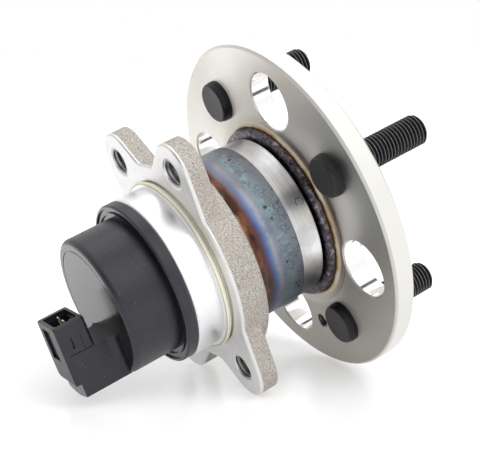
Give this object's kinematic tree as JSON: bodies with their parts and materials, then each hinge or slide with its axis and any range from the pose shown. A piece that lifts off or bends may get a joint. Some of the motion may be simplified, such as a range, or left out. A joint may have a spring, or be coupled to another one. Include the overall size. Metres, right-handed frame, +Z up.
{
  "type": "wheel hub bearing",
  "caption": "Rear wheel hub bearing: studded wheel flange on a double-row ball bearing, eared axle flange, pilot spigot and speed-sensor cap with plug socket.",
  "frame": {"origin": "centre of the face that bolts to the axle, on the spin axis", "axes": "+Y is the spin axis towards the wheel, +Z is up across the bolt rectangle's long side, X runs along its short side"},
  "size_m": [0.1378, 0.1469, 0.1378],
  "materials": {
    "ring_steel": "forged and part-machined bearing steel",
    "hub_steel": "machined satin steel",
    "stud_steel": "black oxide",
    "bearing_steel": "ground and polished",
    "cage_plastic": "moulded nylon",
    "seal_steel": "pressed sheet steel",
    "seal_rubber": "moulded rubber",
    "nut_steel": "zinc plated",
    "tone_steel": "pressed sheet steel",
    "magnet": "sintered ferrite",
    "bobbin_plastic": "moulded nylon",
    "copper": "enamelled wire",
    "sleeve_steel": "pressed stainless steel",
    "oring_rubber": "moulded rubber",
    "pin_gold": "plated terminals",
    "cap_plastic": "glass filled nylon",
    "socket_plastic": "glass filled nylon"
  },
  "bodies": {
    "axle_side": {"outer_ring": "ring_steel", "seal_case": "seal_steel", "seal_lip": "seal_rubber", "pole_piece": "tone_steel", "sensor_magnet": "magnet", "coil_bobbin": "bobbin_plastic", "coil_winding": "copper", "cap_sleeve": "sleeve_steel", "cap_oring": "oring_rubber", "terminal_pins": "pin_gold", "sensor_cap": "cap_plastic", "connector_socket": "socket_plastic"},
    "hub": {"wheel_hub": "hub_steel", "wheel_studs": "stud_steel", "inner_ring": "bearing_steel", "lock_nut": "nut_steel", "tone_ring": "tone_steel"},
    "outboard_ball_set": {"outboard_balls": "bearing_steel", "outboard_cage": "cage_plastic"},
    "inboard_ball_set": {"inboard_balls": "bearing_steel", "inboard_cage": "cage_plastic"}
  },
  "joints": [
    {"name": "hub_spin", "type": "hinge", "parent": "axle_side", "child": "hub", "pos_m": [0, 0.03, 0], "axis": [0, 1, 0], "continuous": true},
    {"name": "outboard_cage_orbit", "type": "hinge", "parent": "axle_side", "child": "outboard_ball_set", "pos_m": [0, 0.0295, 0], "axis": [0, 1, 0], "continuous": true},
    {"name": "inboard_cage_orbit", "type": "hinge", "parent": "axle_side", "child": "inboard_ball_set", "pos_m": [0, 0.005, 0], "axis": [0, 1, 0], "continuous": true}
  ],
  "couplings": [
    {"joint": "outboard_cage_orbit", "follows": "hub_spin", "ratio": 0.4149},
    {"joint": "inboard_cage_orbit", "follows": "hub_spin", "ratio": 0.4149}
  ]
}
